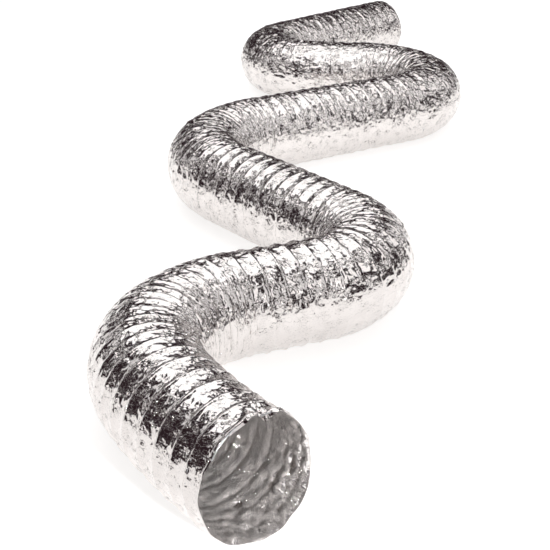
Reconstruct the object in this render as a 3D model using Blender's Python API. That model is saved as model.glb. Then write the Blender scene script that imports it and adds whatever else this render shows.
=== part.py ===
"""Flexible foil air duct, 4 inch nominal bore, laid in a zigzag on a flat surface.

The duct is an inner foil tube, a spring wire helix wound round it and an outer foil tube over
both. It bends and stretches anywhere along its length, so each of the three is divided into the
same stretches, which meet ring to ring at the places where the duct bends, slides or lifts.

Metres, +Z up. The origin is on the floor, under the middle of the laid-out duct.
"""

import math

import bmesh
import bpy
from mathutils import Matrix, Vector

# Radii, from the duct's axis to the flats of its many-sided section.
BORE = 0.0508
INNER_FOIL = 0.0005
WIRE = 0.0009
OUTER_FOIL = 0.0008
GAP = 0.0003
WIRE_RADIUS = BORE + INNER_FOIL + GAP + WIRE / 2
OUTER_BORE = WIRE_RADIUS + WIRE / 2 + GAP
OUTER_RADIUS = OUTER_BORE + OUTER_FOIL

SIDES = 12
HALF_SIDE = math.pi / SIDES
WIRE_PITCH = 0.0245
STEPS_PER_CURVE = 6

# The route of the duct's axis, from the near mouth to the far end: a place and a heading, then
# each run as (length, turn), and each bend between two runs as (radius, turn), turning left.
START = Vector((-0.0818, -0.8032, OUTER_RADIUS))
HEADING = math.radians(131.8)
RUNS = [(0.154, -15), (0.087, 0), (0.224, 0), (0.259, 0), (0.064, 0), (0.288, 0)]
BENDS = [(0.124, -93.5), (0.094, 105), (0.144, -96.5), (0.1185, 142), (0.1025, -128)]

MOUTH_LENGTH = 0.085
SLIDING_RUNS = (3, 4, 6)


def route():
    """The route as a list of (length, turn), runs and bends in order."""
    legs = []
    for run, bend in zip(RUNS, BENDS + [None]):
        legs.append((run[0], math.radians(run[1])))
        if bend:
            turn = math.radians(bend[1])
            legs.append((bend[0] * abs(turn), turn))
    return legs


LEGS = route()


def advance(place, heading, length, turn):
    """The place and heading after a leg, or part of one, of this length and turn."""
    if turn == 0:
        step = Vector((math.cos(heading), math.sin(heading), 0)) * length
        return place + step, heading
    radius = length / turn
    centre = place + Vector((-math.sin(heading), math.cos(heading), 0)) * radius
    return centre + Matrix.Rotation(turn, 3, "Z") @ (place - centre), heading + turn


def frame_at(s):
    """The duct's cross-section at s along its axis: X points left, Y up and Z along the duct."""
    place, heading = START.copy(), HEADING
    for length, turn in LEGS:
        part = min(s, length)
        place, heading = advance(place, heading, part, turn * part / length)
        s -= part
        if s <= 0:
            break
    left = Vector((-math.sin(heading), math.cos(heading), 0))
    up = Vector((0, 0, 1))
    return Matrix.Translation(place) @ Matrix((left, up, left.cross(up))).transposed().to_4x4()


def stretches():
    """(name, start, end) of each stretch of the duct.

    A bend has three joints, at a sixth, a half and five sixths of it, and two stretches of its own
    between them, so its ends belong to the runs beside it.
    """
    found, begun, s = [("mouth", 0, MOUTH_LENGTH)], MOUTH_LENGTH, 0
    for number, (length, _) in enumerate(LEGS[::2], 1):
        if number in SLIDING_RUNS:
            found.append((f"run_{number}", begun, s + length / 2))
            begun = s + length / 2
        name = f"stretch_{number}" if number in SLIDING_RUNS else f"run_{number}"
        s += length
        if number == len(RUNS):
            found.append((name, begun, s))
            break
        bend = LEGS[2 * number - 1][0]
        cuts = [s + bend * k / 6 for k in (1, 3, 5)]
        found.append((name, begun, cuts[0]))
        found.append((f"bend_{number}a", cuts[0], cuts[1]))
        found.append((f"bend_{number}b", cuts[1], cuts[2]))
        begun = cuts[2]
        s += bend
    return found


def stations(start, end):
    """The places along the duct, from start to end, where its walls have a ring of corners."""
    rings, s = [], 0
    for length, turn in LEGS:
        steps = STEPS_PER_CURVE if turn else 1
        rings += [s + length * k / steps for k in range(steps)]
        s += length
    return [start] + [ring for ring in rings if start + GAP < ring < end - GAP] + [end]


def corner(s, side, radius):
    """A corner of the section at s, with the radius measured to the flats."""
    angle = (2 * side + 1) * HALF_SIDE
    reach = radius / math.cos(HALF_SIDE)
    return frame_at(s) @ Vector((reach * math.cos(angle), reach * math.sin(angle), 0))


def add_object(name, mesh, material, collection):
    obj = bpy.data.objects.new(name, mesh)
    mesh.materials.append(material)
    collection.objects.link(obj)
    return obj


def foil_tube(name, start, end, inside, outside, material, collection):
    """A stretch of foil: its ring-shaped end face, swept from ring to ring of the route."""
    rings = stations(start + GAP / 2, end - GAP / 2)
    bm = bmesh.new()
    first = frame_at(rings[0]) @ Matrix.Rotation(HALF_SIDE, 4, "Z")
    for radius in (inside, outside):
        reach = radius / math.cos(HALF_SIDE)
        bmesh.ops.create_circle(bm, segments=SIDES, radius=reach, matrix=first)
    end_face = swept = bmesh.ops.bridge_loops(bm, edges=bm.edges[:])["faces"]
    for before, after in zip(rings, rings[1:]):
        move = frame_at(after) @ frame_at(before).inverted()
        made = bmesh.ops.extrude_face_region(bm, geom=swept)["geom"]
        if swept is not end_face:
            bmesh.ops.delete(bm, geom=swept, context="FACES_ONLY")
        swept = [item for item in made if isinstance(item, bmesh.types.BMFace)]
        moved = {vertex for face in swept for vertex in face.verts}
        bmesh.ops.transform(bm, matrix=move, verts=list(moved))
    bmesh.ops.triangulate(bm, faces=bm.faces[:])
    bmesh.ops.recalc_face_normals(bm, faces=bm.faces[:])
    mesh = bpy.data.meshes.new(name)
    bm.to_mesh(mesh)
    bm.free()
    return add_object(name, mesh, material, collection)


def wire_points(start, end):
    """The corners of the wire helix between two places along the duct.

    It turns from one of the foil's corners to the next, and lies along the flats between them.
    """
    step = WIRE_PITCH / SIDES
    first = math.ceil((start + WIRE) / step)
    last = math.floor((end - WIRE) / step)
    rings = stations(start, end)
    points = []
    for n in range(first, last + 1):
        s = n * step
        before = max(ring for ring in rings if ring <= s)
        after = min(ring for ring in rings if ring > s)
        share = (s - before) / (after - before)
        low, high = (corner(ring, n, WIRE_RADIUS) for ring in (before, after))
        points.append(low.lerp(high, share))
    return points


def wire_coil(name, start, end, material, collection):
    """A stretch of the spring wire: a square-sectioned coil along wire_points."""
    points = wire_points(start, end)
    curve = bpy.data.curves.new(name, "CURVE")
    curve.dimensions = "3D"
    curve.bevel_depth = WIRE / 2
    curve.bevel_resolution = 0
    curve.use_fill_caps = True
    spline = curve.splines.new("POLY")
    spline.points.add(len(points) - 1)
    for point, place in zip(spline.points, points):
        point.co = (*place, 1)
    curve.materials.append(material)
    obj = bpy.data.objects.new(name, curve)
    collection.objects.link(obj)
    return obj


def metal(name, colour, roughness):
    material = bpy.data.materials.new(name)
    material.use_nodes = True
    shader = material.node_tree.nodes["Principled BSDF"]
    shader.inputs["Base Color"].default_value = (*colour, 1)
    shader.inputs["Metallic"].default_value = 1
    shader.inputs["Roughness"].default_value = roughness
    return material


def clear_scene():
    for obj in list(bpy.data.objects):
        bpy.data.objects.remove(obj)


def main():
    clear_scene()
    duct = bpy.data.collections.new("flexible_air_duct")
    bpy.context.scene.collection.children.link(duct)
    bright_foil = metal("bright_foil", (0.88, 0.87, 0.87), 0.2)
    grey_foil = metal("grey_foil", (0.62, 0.61, 0.6), 0.4)
    spring_steel = metal("spring_steel", (0.5, 0.5, 0.52), 0.35)
    for name, start, end in stretches():
        foil_tube(f"{name}_outer_foil", start, end, OUTER_BORE, OUTER_RADIUS, bright_foil, duct)
        foil_tube(f"{name}_inner_foil", start, end, BORE, BORE + INNER_FOIL, grey_foil, duct)
        wire_coil(f"{name}_wire", start, end, spring_steel, duct)


main()
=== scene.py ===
"""The looks of a flexible foil air duct, laid in a zigzag on a pale floor.

The duct's two foils and its wire are each swept along the duct's axis as one continuous form, and
cut into pieces that each reach across one joint at most. Metres, +Z up.
"""

import math

import bpy
import numpy as np
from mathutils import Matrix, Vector


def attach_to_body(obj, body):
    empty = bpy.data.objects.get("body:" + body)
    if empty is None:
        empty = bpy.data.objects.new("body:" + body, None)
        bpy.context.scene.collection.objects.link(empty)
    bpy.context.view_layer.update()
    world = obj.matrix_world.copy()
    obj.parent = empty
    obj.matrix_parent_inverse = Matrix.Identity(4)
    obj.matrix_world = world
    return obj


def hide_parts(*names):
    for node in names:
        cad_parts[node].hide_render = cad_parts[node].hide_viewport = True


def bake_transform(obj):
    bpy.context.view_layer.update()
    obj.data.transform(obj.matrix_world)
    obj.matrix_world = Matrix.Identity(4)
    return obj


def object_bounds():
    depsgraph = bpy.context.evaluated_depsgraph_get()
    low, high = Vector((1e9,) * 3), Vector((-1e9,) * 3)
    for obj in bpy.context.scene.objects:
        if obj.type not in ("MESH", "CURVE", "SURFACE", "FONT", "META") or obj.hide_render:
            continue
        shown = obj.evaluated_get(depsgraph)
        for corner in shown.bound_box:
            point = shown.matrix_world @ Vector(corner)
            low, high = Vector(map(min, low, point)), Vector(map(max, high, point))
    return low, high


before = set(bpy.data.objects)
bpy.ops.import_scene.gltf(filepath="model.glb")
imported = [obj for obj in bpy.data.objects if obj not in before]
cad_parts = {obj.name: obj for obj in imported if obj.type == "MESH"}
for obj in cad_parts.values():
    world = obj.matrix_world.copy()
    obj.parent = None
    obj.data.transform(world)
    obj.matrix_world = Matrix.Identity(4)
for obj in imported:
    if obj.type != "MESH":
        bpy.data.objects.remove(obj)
CAD_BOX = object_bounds()

# The route of the duct's axis, as in the CAD: a start and a heading, the runs as (length, turn)
# and the bends between them as (radius, turn), in degrees, turning left.
START = (-0.0818, -0.8032)
HEADING = math.radians(131.8)
RUNS = [(0.154, -15), (0.087, 0), (0.224, 0), (0.259, 0), (0.064, 0), (0.288, 0)]
BENDS = [(0.124, -93.5), (0.094, 105), (0.144, -96.5), (0.1185, 142), (0.1025, -128)]
SLIDING_RUNS = (3, 4, 6)

# The section. The axis is half the CAD's height above the floor, to the nearest micrometre, and
# the foil's ridges stand a little proud of the CAD's flats.
AXIS_HEIGHT = round(CAD_BOX[1][2] / 2, 6)
RIDGES_PROUD = 0.0006
RIDGE_RADIUS = AXIS_HEIGHT + RIDGES_PROUD
AROUND = 2 * math.pi * RIDGE_RADIUS
FOILS_APART = 0.0022
WIRE_THICKNESS = 0.001
FLOOR_GAP = 0.0003

# The wire's spacing along the axis in a run and in a bend, and how much and how often it varies.
RUN_PITCH = 0.0215
BEND_PITCH = 0.0145
PITCH_UNEVEN = 0.13
UNEVEN_STEP = 0.022
MOST_UNEVEN = 1.5
PITCH_SEED = 5

# The table of the wire's turns: its rows, how far it reaches past the duct's ends, how many rows a
# run's spacing takes to pass into a bend's, and the curvature that tells a bend from a run.
TABLE_ROWS = 6000
TABLE_MARGIN = 0.02
BLUR_ROWS = 61
BEND_CURVATURE = 2

# How far the foil sags between two turns of the wire, against their distance apart.
SAG = 0.058
SQUEEZED_SAG = 0.045
BEND_SAG = 0.02

# The narrow bead where the foil lies over the wire.
BEAD_HEIGHT = 0.0008
BEAD_HALF_WIDTH = 0.0013
BEND_BEAD_LOSS = 0.15

# The foil wears from one place to another along the duct: its beads and its sag grow less.
WEAR_START, WEAR_LENGTH = 0.6, 0.9
WORN_BEAD_LOSS = 0.3
WORN_SAG_LOSS = 0.45

# The facets of crumpled foil: how strongly each is domed against how much it leans, and how much
# the few steep ones and the many gentle ones lean.
DOME = 1.6
MOST_LEAN = 2
STEEP_SHARE, STEEP, GENTLE = 0.3, 1.5, 0.6
MARGIN_CELLS = 4

# The layers of facets, each (cell, slope), and their seeds.
OUTER_LAYERS, OUTER_SEED = [(0.017, 0.02), (0.009, 0.045), (0.0045, 0.08), (0.003, 0.06)], 11
WORN_LAYERS, WORN_SEED = [(0.0075, 0.06), (0.005, 0.065)], 31
INNER_LAYERS, INNER_SEED = [(0.014, 0.06), (0.007, 0.09)], 41
CRUSHED_LAYERS, CRUSHED_SEED = [(0.006, 0.3)], 61

# The folds are shallower on the wire and at the near rim, and deeper in a bend. The inner foil is
# pleated midway between two turns of the wire, and crushed most a little way inside the near rim.
FOLDS_ON_WIRE = 0.3
CALM_SHARE, CALM_REACH = 0.75, 0.012
BEND_FOLDS = 0.2
INNER_PLEAT = 0.0007
CRUSHED_AT = 0.012

# What the cut near end adds to the radius: waves as (height, waves round the duct, phase), and
# bumps as (height, angle, width), in degrees.
RIM_REACH = 0.012
RIM_WAVES = [(0.0004, 7, 1), (0.0003, 13, 2)]
RIM_PINCH = [(-0.007, 104, 8), (0.003, 88, 8), (0.002, 120, 9)]
RIM_LIP = 0.0014
RIM_SWELLING = [(0.0016, 190, 50)]

# How the scissors cut the two ends, and the tongue that the near end has on its underside.
CUT_WAVES = [(0.0008, 3, 0.5), (0.0004, 8, 0), (0.0003, 17, 0)]
CUT_INSET = 0.0014
CUT_REACH = 0.02
CUT_TONGUE = [(0.010, 245, 55)]
HEM_REACH = 0.0012

# The foils' grids, and how far a point is moved off its place there, in steps. The wire's grid, and
# how far it stays inside the ends of a piece.
OUTER_STEP, OUTER_SIDES = 0.001, 256
INNER_STEP, INNER_SIDES = 0.0018, 176
OUTER_GRID_SEED, INNER_GRID_SEED = 100, 200
GRID_UNEVEN = 0.36
WIRE_STEPS, WIRE_SIDES = 36, 6
WIRE_END_GAP = 0.001


def legs():
    """The route as (length, turn), runs and bends in order."""
    found = []
    for run, bend in zip(RUNS, BENDS + [None]):
        found.append((run[0], math.radians(run[1])))
        if bend:
            turn = math.radians(bend[1])
            found.append((bend[0] * abs(turn), turn))
    return found


LEGS = legs()
LENGTH = sum(length for length, _ in LEGS)


def axis_at(s):
    """(x, y, heading, curvature) of the duct's axis at each s.

    The axis goes on beyond its ends as its first and last runs do.
    """
    s = np.asarray(s, float)
    x, y, heading, bent = (np.zeros_like(s) for _ in range(4))
    place, angle, begun = START, HEADING, 0.0
    for number, (length, turn) in enumerate(LEGS):
        here = (s >= begun) & (s <= begun + length)
        if number == 0:
            here |= s < 0
        if number == len(LEGS) - 1:
            here |= s > begun + length
        along = s[here] - begun
        curve = turn / length
        middle = angle + curve * along / 2
        reach = along * np.sinc(curve * along / 2 / np.pi)
        x[here] = place[0] + reach * np.cos(middle)
        y[here] = place[1] + reach * np.sin(middle)
        heading[here] = angle + curve * along
        bent[here] = curve
        reach = length * np.sinc(turn / 2 / np.pi)
        place = (
            place[0] + reach * math.cos(angle + turn / 2),
            place[1] + reach * math.sin(angle + turn / 2),
        )
        angle += turn
        begun += length
    return x, y, heading, bent


def point_at(s):
    x, y, _, _ = axis_at([s])
    return Vector((x[0], y[0], AXIS_HEIGHT))


def sweep(s, phi, radius):
    """Points at these places along the duct, angles from its left side upwards, and radii."""
    x, y, heading, _ = axis_at(s)
    left = radius * np.cos(phi)
    z = np.maximum(AXIS_HEIGHT + radius * np.sin(phi), FLOOR_GAP)
    return np.stack([x - left * np.sin(heading), y + left * np.cos(heading), z], -1)


def cuts():
    """(label, start, end, first body, second body, CAD stretches) of each piece.

    A run with no joint has no second body. The last third of a bend stands for no stretch of the
    CAD, because a bend has two stretches and three joints.
    """
    found, s = [], 0.0
    for number in range(1, len(RUNS) + 1):
        end = s + RUNS[number - 1][0]
        run = f"run_{number}"
        if number == 1:
            found.append((run, s, end, "mouth", run, ["mouth", run]))
        elif number in SLIDING_RUNS:
            other = f"stretch_{number}"
            found.append((run, s, end, run, other, [run, other]))
        else:
            found.append((run, s, end, run, None, [run]))
        s = end
        if number > len(BENDS):
            break
        before = f"stretch_{number}" if number in SLIDING_RUNS else run
        chain = [before, f"bend_{number}a", f"bend_{number}b", f"run_{number + 1}"]
        third = LEGS[2 * number - 1][0] / 3
        for k, place in enumerate(("near", "middle", "far")):
            stands_for = [chain[k + 1]] if k < 2 else []
            label = f"bend_{number}_{place}"
            found.append((label, s, s + third, chain[k], chain[k + 1], stands_for))
            s += third
    return found


CUTS = cuts()


# The wire's turns and the foil's folds


def smooth(share):
    """0 to 1 with no corner at either end, for a share of the way that goes evenly from 0 to 1."""
    return share * share * (3 - 2 * share)


def turn_table():
    """Rows of s, the wire's turns up to s, their spacing there, and 0 in a run to 1 in a bend."""
    s = np.linspace(-TABLE_MARGIN, LENGTH + TABLE_MARGIN, TABLE_ROWS)
    bend = (np.abs(axis_at(s)[3]) > BEND_CURVATURE).astype(float)
    blur = np.hanning(BLUR_ROWS)
    bend = np.convolve(np.pad(bend, BLUR_ROWS // 2, "edge"), blur / blur.sum(), "valid")
    uneven = np.random.default_rng(PITCH_SEED).normal(0, 1, int(LENGTH / UNEVEN_STEP))
    uneven = np.interp(s, np.linspace(0, LENGTH, len(uneven)), uneven)
    uneven = 1 + PITCH_UNEVEN * uneven.clip(-MOST_UNEVEN, MOST_UNEVEN)
    pitch = (RUN_PITCH + (BEND_PITCH - RUN_PITCH) * bend) * uneven
    return s, np.cumsum((s[1] - s[0]) / pitch), pitch, bend


TABLE_S, TABLE_TURNS, TABLE_PITCH, TABLE_BEND = turn_table()


def turns_at(s):
    return np.interp(s, TABLE_S, TABLE_TURNS)


def bend_at(s):
    """0 in a run to 1 in a bend."""
    return np.interp(s, TABLE_S, TABLE_BEND)


def wear_at(s):
    """0 near the mouth to 1 along the far half, whose foil is more crumpled and less ridged."""
    return smooth(np.clip((s - WEAR_START) / WEAR_LENGTH, 0, 1))


def sag_at(s, phi):
    """How far the foil lies below its beads over the wire, and 0 on a bead to 1 midway between two."""
    share = np.mod(turns_at(s) - phi / (2 * np.pi), 1)
    bow = 1 - (2 * share - 1) ** 2
    pitch = np.interp(s, TABLE_S, TABLE_PITCH)
    pitch = pitch * (1 - axis_at(s)[3] * RIDGE_RADIUS * np.cos(phi))
    squeezed = np.clip(1 - pitch / RUN_PITCH, 0, 1)
    off = np.minimum(share, 1 - share) * pitch / BEAD_HALF_WIDTH
    bend, wear = bend_at(s), wear_at(s)
    bead = BEAD_HEIGHT * (1 - BEND_BEAD_LOSS * bend) * (1 - WORN_BEAD_LOSS * wear)
    slack = SAG + (BEND_SAG - SAG) * bend + SQUEEZED_SAG * squeezed**2
    slack *= 1 - WORN_SAG_LOSS * wear
    return pitch * slack * bow + bead * (1 - np.exp(-off * off)), bow


def facets(s, phi, cell, seed):
    """The height, in cells, of a sheet of gently domed facets about one cell apart.

    The facets lean by about 1 in 1, and meet in creases.
    """
    rng = np.random.default_rng(seed)
    around = int(round(AROUND / cell))
    rows = int(LENGTH / cell) + 2 * MARGIN_CELLS
    shift_u, shift_v = rng.random((2, rows, around))
    lean_u, lean_v = rng.normal(0, 1, (2, rows, around)).clip(-MOST_LEAN, MOST_LEAN)
    steepness = np.where(rng.random((rows, around)) < STEEP_SHARE, STEEP, GENTLE)
    lean_u, lean_v = lean_u * steepness, lean_v * steepness
    u, v = s / cell + MARGIN_CELLS, np.mod(phi / (2 * np.pi), 1) * around
    base_u, base_v = np.floor(u).astype(int), np.floor(v).astype(int)
    highest = np.full(u.shape, -np.inf)
    for du in (-1, 0, 1):
        for dv in (-1, 0, 1):
            row = np.clip(base_u + du, 0, rows - 1)
            column = (base_v + dv) % around
            x = u - (base_u + du + shift_u[row, column])
            y = v - (base_v + dv + shift_v[row, column])
            height = lean_u[row, column] * x + lean_v[row, column] * y
            highest = np.maximum(highest, height - DOME * (x * x + y * y))
    return highest


def crumple(s, phi, layers, seed):
    """The height of crumpled foil: layers of facets, each (cell, slope), facing in and out in turn."""
    height = np.zeros(s.shape)
    for number, (cell, slope) in enumerate(layers):
        sign = 1 if number % 2 else -1
        height += sign * slope * cell * facets(s, phi, cell, seed + number)
    return height


def waves(phi, parts):
    """A sum of waves round the duct, each (height, waves round the duct, phase)."""
    return sum(height * np.sin(count * phi + phase) for height, count, phase in parts)


def bumps(phi, parts):
    """A sum of smooth bumps round the duct, each (height, angle, width), in degrees."""
    total = 0
    for height, angle, width in parts:
        off = np.angle(np.exp(1j * (phi - math.radians(angle))))
        total = total + height * np.exp(-((off / math.radians(width)) ** 2))
    return total


def fade(distance, reach):
    """1 at an end of the duct, falling off with the distance from it."""
    return np.exp(-np.clip(distance, 0, None) / reach)


def rim_shape(s, phi):
    """What the cut near end adds to the radius: a pinch at the top and a bent-out, wavy lip."""
    lip = RIM_LIP + bumps(phi, RIM_SWELLING)
    return fade(s, RIM_REACH) * (waves(phi, RIM_WAVES) + bumps(phi, RIM_PINCH) + lip)


def ragged(s, phi):
    """How far along the duct the scissors' uneven cut moves the foil near each end."""
    cut = waves(phi, CUT_WAVES) + CUT_INSET
    near_cut = cut - bumps(phi, CUT_TONGUE)
    return near_cut * fade(s, CUT_REACH) - cut * fade(LENGTH - s, CUT_REACH)


def hem(s):
    """0 at the cut ends, where the two foils meet, to 1 a few millimetres inside."""
    return 1 - fade(np.minimum(s, LENGTH - s), HEM_REACH)


def calm(s):
    """Less than 1 near the mouth, whose rim is pressed smooth."""
    return 1 - CALM_SHARE * np.exp(-((np.clip(s, 0, None) / CALM_REACH) ** 2))


def off_wire(bow):
    """How deep the folds are, between a bead and midway between two."""
    return FOLDS_ON_WIRE + (1 - FOLDS_ON_WIRE) * bow


def outer_radius(s, phi):
    sag, bow = sag_at(s, phi)
    folds = crumple(s, phi, OUTER_LAYERS, OUTER_SEED) * off_wire(bow) * calm(s)
    folds *= 1 + BEND_FOLDS * bend_at(s)
    folds += crumple(s, phi, WORN_LAYERS, WORN_SEED) * wear_at(s)
    return RIDGE_RADIUS - sag + folds + rim_shape(s, phi) - FOILS_APART / 2 * (1 - hem(s))


def inner_radius(s, phi):
    sag, bow = sag_at(s, phi)
    pleat = INNER_PLEAT * np.clip(3 * bow - 2, 0, 1) ** 2
    folds = crumple(s, phi, INNER_LAYERS, INNER_SEED) * off_wire(bow) * calm(s)
    inside = np.clip(s, 0, None) / CRUSHED_AT
    folds += crumple(s, phi, CRUSHED_LAYERS, CRUSHED_SEED) * inside * np.exp(1 - inside)
    apart = FOILS_APART * (0.5 + 0.5 * hem(s))
    return RIDGE_RADIUS - sag + pleat + folds + rim_shape(s, phi) - apart


# Meshes


def new_object(name, points, quads, uvs=None):
    mesh = bpy.data.meshes.new(name)
    mesh.vertices.add(len(points))
    mesh.vertices.foreach_set("co", points.astype(np.float32).ravel())
    mesh.loops.add(quads.size)
    mesh.loops.foreach_set("vertex_index", quads.astype(np.int32).ravel())
    mesh.polygons.add(len(quads))
    mesh.polygons.foreach_set("loop_start", np.arange(0, quads.size, 4, dtype=np.int32))
    if uvs is not None:
        uv_layer = mesh.uv_layers.new(name="UVMap")
        uv_layer.data.foreach_set("uv", uvs.astype(np.float32).ravel())
    mesh.update(calc_edges=True)
    mesh.validate()
    obj = bpy.data.objects.new(name, mesh)
    bpy.context.scene.collection.objects.link(obj)
    return obj


def foil(name, start, end, step, sides, radius, outward, seed):
    """A piece of foil from start to end, and how far along the duct each of its points is.

    Its grid is uneven, so that no rows show, except at its ends, which neighbours share.
    """
    rows = int(round((end - start) / step)) + 1
    s, phi = np.meshgrid(
        np.linspace(start, end, rows),
        np.arange(sides) * 2 * np.pi / sides - np.pi / 2,
        indexing="ij",
    )
    rng = np.random.default_rng(seed)
    move_s, move_phi = rng.uniform(-GRID_UNEVEN, GRID_UNEVEN, (2, rows, sides))
    move_s[[0, -1]] = move_phi[[0, -1]] = 0
    s = s + move_s * (end - start) / (rows - 1)
    phi = phi + move_phi * 2 * np.pi / sides
    points = sweep(s + ragged(s, phi), phi, radius(s, phi)).reshape(-1, 3)
    row, side = np.meshgrid(np.arange(rows - 1), np.arange(sides), indexing="ij")
    after = (side + 1) % sides
    corners = [(row, side), (row, after), (row + 1, after), (row + 1, side)]
    if not outward:
        corners.reverse()
    quads = np.stack([r * sides + c for r, c in corners], -1).reshape(-1, 4)
    flat_s, flat_phi = s.reshape(-1), phi.reshape(-1)
    u, v = flat_s[quads], (flat_phi[quads] + np.pi / 2) * RIDGE_RADIUS
    # A face that closes the ring has its far corners one turn further on, not back at 0.
    closes = v.max(1, keepdims=True) > AROUND / 2
    v = np.where((v < AROUND / 4) & closes, v + AROUND, v)
    return new_object(name, points, quads, np.stack([u, v], -1)), flat_s


def outer_foil(name, start, end, number):
    seed = OUTER_GRID_SEED + number
    return foil(name, start, end, OUTER_STEP, OUTER_SIDES, outer_radius, True, seed)


def inner_foil(name, start, end, number):
    seed = INNER_GRID_SEED + number
    return foil(name, start, end, INNER_STEP, INNER_SIDES, inner_radius, False, seed)


def wire(name, start, end, _number):
    """A piece of the wire helix, closed at both ends, and how far along the duct its points are.

    It draws nothing at random, so it has no use for the piece's number.
    """
    first, last = turns_at(start + WIRE_END_GAP), turns_at(end - WIRE_END_GAP)
    count = int((last - first) * WIRE_STEPS)
    turn = np.linspace(first, last, count)
    s = np.interp(turn, TABLE_TURNS, TABLE_S)
    phi = turn * 2 * np.pi
    middle = RIDGE_RADIUS - FOILS_APART / 2 + rim_shape(s, phi)
    round_wire = np.arange(WIRE_SIDES) * 2 * np.pi / WIRE_SIDES
    out = WIRE_THICKNESS / 2 * np.cos(round_wire)
    along = WIRE_THICKNESS / 2 * np.sin(round_wire)
    points = sweep(
        s[:, None] + along[None],
        np.repeat(phi[:, None], WIRE_SIDES, 1),
        middle[:, None] + out[None],
    ).reshape(-1, 3)
    row, side = np.meshgrid(np.arange(count - 1), np.arange(WIRE_SIDES), indexing="ij")
    after = (side + 1) % WIRE_SIDES
    corners = [(row, side), (row + 1, side), (row + 1, after), (row, after)]
    quads = np.stack([r * WIRE_SIDES + c for r, c in corners], -1).reshape(-1, 4)
    # Each end is closed by a row of faces across it.
    caps = []
    for k in range(WIRE_SIDES // 2 - 1):
        cap = np.array([k, k + 1, WIRE_SIDES - 2 - k, WIRE_SIDES - 1 - k])
        caps += [cap, cap[::-1] + (count - 1) * WIRE_SIDES]
    obj = new_object(name, points, np.concatenate([quads, caps]))
    obj.data.shade_smooth()
    return obj, np.repeat(s, WIRE_SIDES)


# Materials

# The foil's fine dents and creases, on its UV in metres: how they are warped, the patches that
# they lie in, and how much stronger they grow along the duct.
WARP_SCALE, WARP = 160, (0.004, 0.004, 0)
PATCH_SCALE = 75
PATCH_RANGE = {"From Min": 0.45, "From Max": 0.62, "To Min": 0.12}
WEAR_RANGE = {"From Min": 0.3, "From Max": 1.3, "To Min": 0.75, "To Max": 1.35}
MIDDLE_COLOUR = (0.5, 0.5, 0.5)

# The foil's faint mottling, and how much its roughness varies with it.
MOTTLE_SCALE = 45
MOTTLE_FROM, MOTTLE_TO = 0.3, 0.7
ROUGHEST, SMOOTHEST = 1.3, 0.7


def shader_of(material):
    return material.node_tree.nodes["Principled BSDF"]


def new_material(name):
    material = bpy.data.materials.new(name)
    material.use_nodes = True
    return material


def add_node(tree, kind, inputs=(), **settings):
    """A node with these settings, and its inputs set to values or linked from sockets."""
    node = tree.nodes.new(kind)
    for name, value in settings.items():
        setattr(node, name, value)
    for name, value in dict(inputs).items():
        if isinstance(value, bpy.types.NodeSocket):
            tree.links.new(value, node.inputs[name])
        else:
            node.inputs[name].default_value = value
    return node


def add_maths(tree, operation, first, second, kind="ShaderNodeVectorMath"):
    """The result of an operation on two vectors, or on two numbers with the kind ShaderNodeMath."""
    node = add_node(tree, kind, {0: first, 1: second}, operation=operation)
    return node.outputs["Value" if operation == "DOT_PRODUCT" else 0]


def add_noise(tree, vector, scale, detail):
    inputs = {"Vector": vector, "Scale": scale, "Detail": detail}
    return add_node(tree, "ShaderNodeTexNoise", inputs)


def add_cells(tree, vector, cells, feature="F1"):
    inputs = {"Vector": vector, "Scale": cells}
    kind = "ShaderNodeTexVoronoi"
    return add_node(tree, kind, inputs, voronoi_dimensions="2D", feature=feature)


def add_bump(tree, height, distance, normal):
    """The normal after a bump, on top of the normal of an earlier one if there is one."""
    inputs = {"Height": height, "Distance": distance, "Strength": 1}
    if normal:
        inputs["Normal"] = normal
    return add_node(tree, "ShaderNodeBump", inputs).outputs["Normal"]


def creased_patches(tree, uv):
    """How strong the fine dents and creases are at each place: in patches, and more with wear."""
    patches = add_noise(tree, uv, PATCH_SCALE, 2).outputs["Fac"]
    creased = add_node(
        tree,
        "ShaderNodeMapRange",
        {"Value": patches, **PATCH_RANGE},
        interpolation_type="SMOOTHSTEP",
    ).outputs["Result"]
    along = add_node(tree, "ShaderNodeSeparateXYZ", {"Vector": uv}).outputs["X"]
    wear = add_node(tree, "ShaderNodeMapRange", {"Value": along, **WEAR_RANGE})
    return add_maths(tree, "MULTIPLY", creased, wear.outputs["Result"], "ShaderNodeMath")


def fine_folds(tree, uv, dents, creases):
    """The normal of the foil's fine dents, which are leaning flat cells, and creases between cells."""
    warp = add_noise(tree, uv, WARP_SCALE, 2).outputs["Color"]
    place = add_maths(tree, "ADD", uv, add_maths(tree, "MULTIPLY", warp, WARP))
    creased = creased_patches(tree, uv)
    normal = None
    for cells, slope in dents:
        cell = add_cells(tree, place, cells)
        offset = add_maths(tree, "SUBTRACT", place, cell.outputs["Position"])
        lean = add_maths(tree, "SUBTRACT", cell.outputs["Color"], MIDDLE_COLOUR)
        height = add_maths(tree, "DOT_PRODUCT", offset, lean)
        height = add_maths(tree, "MULTIPLY", height, creased, "ShaderNodeMath")
        normal = add_bump(tree, height, slope, normal)
    for cells, width, depth in creases:
        edges = add_cells(tree, place, cells, "DISTANCE_TO_EDGE").outputs["Distance"]
        fold = add_node(
            tree,
            "ShaderNodeMapRange",
            {"Value": edges, "From Max": width, "To Min": creased, "To Max": 0},
            interpolation_type="SMOOTHSTEP",
        )
        normal = add_bump(tree, fold.outputs["Result"], depth, normal)
    return normal


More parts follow.
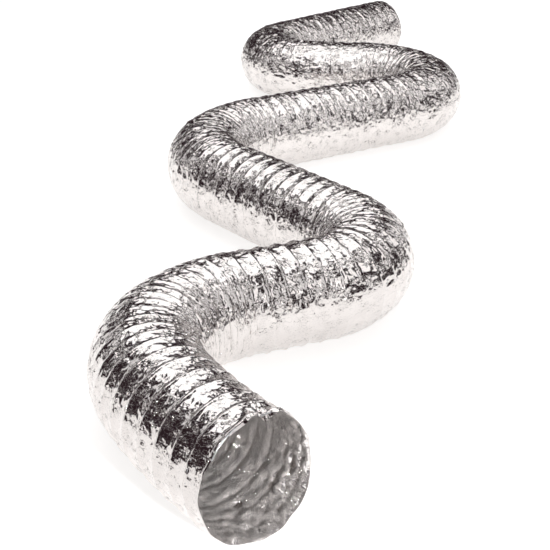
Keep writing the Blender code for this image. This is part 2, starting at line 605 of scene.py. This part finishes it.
def foil_material(name, colour, darkest, roughness, metallic, dents, creases):
    """Crumpled foil.

    Its dents are (cells per metre, slope), and its creases (cells per metre, share of a cell, depth
    in metres). Its colour is mottled down to the darkest share of it.
    """
    material = new_material(name)
    tree, shader = material.node_tree, shader_of(material)
    shader.inputs["Metallic"].default_value = metallic
    uv = add_node(tree, "ShaderNodeUVMap", uv_map="UVMap").outputs["UV"]
    tree.links.new(fine_folds(tree, uv, dents, creases), shader.inputs["Normal"])
    mottle = add_noise(tree, uv, MOTTLE_SCALE, 5).outputs["Fac"]
    ramp = add_node(tree, "ShaderNodeValToRGB", {"Fac": mottle})
    dark, light = ramp.color_ramp.elements
    dark.position, light.position = MOTTLE_FROM, MOTTLE_TO
    dark.color = (*(part * darkest for part in colour), 1)
    light.color = (*colour, 1)
    tree.links.new(ramp.outputs["Color"], shader.inputs["Base Color"])
    rough = add_node(
        tree,
        "ShaderNodeMapRange",
        {"Value": mottle, "To Min": roughness * ROUGHEST, "To Max": roughness * SMOOTHEST},
    )
    tree.links.new(rough.outputs["Result"], shader.inputs["Roughness"])
    return material


def bright_foil():
    return foil_material(
        "outer_foil",
        colour=(0.79, 0.755, 0.738),
        darkest=0.94,
        roughness=0.08,
        metallic=1,
        dents=[(250, 0.42), (520, 0.42)],
        creases=[(230, 0.16, 0.00016)],
    )


def dull_foil():
    return foil_material(
        "inner_foil",
        colour=(0.8, 0.77, 0.755),
        darkest=0.85,
        roughness=0.16,
        metallic=0.88,
        dents=[(240, 0.7), (480, 0.7)],
        creases=[(190, 0.3, 0.0002)],
    )


def spring_steel():
    material = new_material("spring_steel")
    tree, shader = material.node_tree, shader_of(material)
    shader.inputs["Metallic"].default_value = 1
    grain = add_node(tree, "ShaderNodeTexNoise", {"Scale": 900, "Detail": 3})
    ramp = add_node(tree, "ShaderNodeValToRGB", {"Fac": grain.outputs["Fac"]})
    dark, light = ramp.color_ramp.elements
    dark.color = (0.32, 0.32, 0.33, 1)
    light.color = (0.58, 0.58, 0.6, 1)
    tree.links.new(ramp.outputs["Color"], shader.inputs["Base Color"])
    shader.inputs["Roughness"].default_value = 0.35
    return material


# Pieces


def attach(obj, first, second, start, end):
    """Puts a piece with no joint on its body.

    A piece across a joint is left where it is, on no body.
    """
    if second is None:
        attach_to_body(obj, first)
        return
    point_at(start)
    point_at(end)
    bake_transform(obj)


def make_duct():
    kinds = {
        "outer_foil": (outer_foil, bright_foil()),
        "inner_foil": (inner_foil, dull_foil()),
        "wire": (wire, spring_steel()),
    }
    for number, (label, start, end, first, second, stretches) in enumerate(CUTS):
        for kind, (make, material) in kinds.items():
            obj, s = make(f"{kind}_{label}", start, end, number)
            obj.data.materials.append(material)
            attach(obj, first, second, start, end)
            if stretches:
                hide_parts(*[f"{stretch}_{kind}" for stretch in stretches])


# The studio

CAMERA_PLACE = (-0.0681, -1.4911, 0.537)
CAMERA_DOWN = 24.6
CAMERA_LENS, CAMERA_SENSOR = 72, 36

FLOOR_REACH = 60

# The area lights that the foil reflects: (name, place, target, width, depth, radiance).
SOFTBOXES = [
    ("overhead_softbox", (-0.15, 0.33, 1.15), (-0.15, 0.33, 0), 1.6, 1.9, 1.52),
    ("front_softbox", (0.1, -1.7, 1.25), (0, 0.1, 0), 0.9, 1.2, 0.9),
    ("front_right_card", (1.9, -2.7, 0.8), (0, -0.5, 0.1), 1.0, 1.0, 0.9),
    ("left_card", (-1.4, 0.5, 0.75), (0, 0.1, 0.05), 0.6, 0.7, 0.9),
    ("right_front_card", (0.8, -1.5, 0.9), (-0.1, -0.4, 0.05), 0.5, 0.8, 1.2),
    ("right_middle_card", (1.15, -0.6, 1.0), (-0.1, 0.25, 0.05), 0.7, 1.0, 1.3),
    ("right_card", (1.3, 0.9, 0.85), (0.1, 0.8, 0.05), 1.0, 0.9, 1.2),
]

# Another, in the same form, that lights the floor and leaves the foil's reflections alone.
FLOOR_FILL = ("floor_fill", (0, 0, 4), (0, 0, 0), 8, 8, 0.7)

# The narrow fill light into the near mouth, whose cone is in degrees.
FILL_PLACE, FILL_TARGET = (0.3, -1.45, 0.3), (-0.088, -0.8, 0.042)
FILL_POWER = 150
FILL_CONE = 9.5
FILL_BLEND = 0.6
FILL_SOFTNESS = 0.06


def add_to_scene(name, data, place):
    obj = bpy.data.objects.new(name, data)
    obj.location = place
    bpy.context.scene.collection.objects.link(obj)
    return obj


def aim(obj, place, target):
    """Turns a light at this place towards its target."""
    way = Vector(target) - Vector(place)
    obj.rotation_euler = way.to_track_quat("-Z", "Y").to_euler()


def make_camera():
    camera = bpy.data.cameras.new("camera")
    camera.lens = CAMERA_LENS
    camera.sensor_width = CAMERA_SENSOR
    camera.clip_start = 0.01
    obj = add_to_scene("camera", camera, CAMERA_PLACE)
    obj.rotation_euler = (math.radians(90 - CAMERA_DOWN), 0, 0)
    bpy.context.scene.camera = obj


def make_floor():
    """A pale matt floor that glows a little, so that it stays light right up to the duct."""
    corners = np.array([[-1, -1, 0], [1, -1, 0], [1, 1, 0], [-1, 1, 0]], float)
    floor = new_object("floor", corners * FLOOR_REACH, np.array([[0, 1, 2, 3]]))
    material = new_material("pale_floor")
    shader = shader_of(material)
    shader.inputs["Base Color"].default_value = (0.48, 0.477, 0.474, 1)
    shader.inputs["Roughness"].default_value = 0.8
    shader.inputs["Specular IOR Level"].default_value = 0.1
    shader.inputs["Emission Color"].default_value = (1, 0.99, 0.98, 1)
    shader.inputs["Emission Strength"].default_value = 0.72
    floor.data.materials.append(material)


def make_world():
    """Dark surroundings, whose faint warm colour tints the foil's darkest reflections."""
    world = bpy.data.worlds.new("studio")
    bpy.context.scene.world = world
    world.use_nodes = True
    background = world.node_tree.nodes["Background"]
    background.inputs["Color"].default_value = (1, 0.6, 0.72, 1)
    background.inputs["Strength"].default_value = 0.03


def softbox(name, place, target, width, depth, radiance):
    """A flat rectangular light of this brightness, which only reflections show."""
    light = bpy.data.lights.new(name, "AREA")
    light.shape = "RECTANGLE"
    light.size, light.size_y = width, depth
    light.energy = radiance * math.pi * width * depth
    obj = add_to_scene(name, light, place)
    aim(obj, place, target)
    obj.visible_camera = False
    return obj


def inside_light():
    light = bpy.data.lights.new("inside_fill", "SPOT")
    light.energy = FILL_POWER
    light.spot_size = math.radians(FILL_CONE)
    light.spot_blend = FILL_BLEND
    light.shadow_soft_size = FILL_SOFTNESS
    obj = add_to_scene("inside_fill", light, FILL_PLACE)
    aim(obj, FILL_PLACE, FILL_TARGET)


def make_studio():
    make_floor()
    make_world()
    for box in SOFTBOXES:
        softbox(*box)
    softbox(*FLOOR_FILL).visible_glossy = False
    inside_light()
    bpy.context.scene.view_settings.view_transform = "Standard"


make_camera()
make_duct()
make_studio()
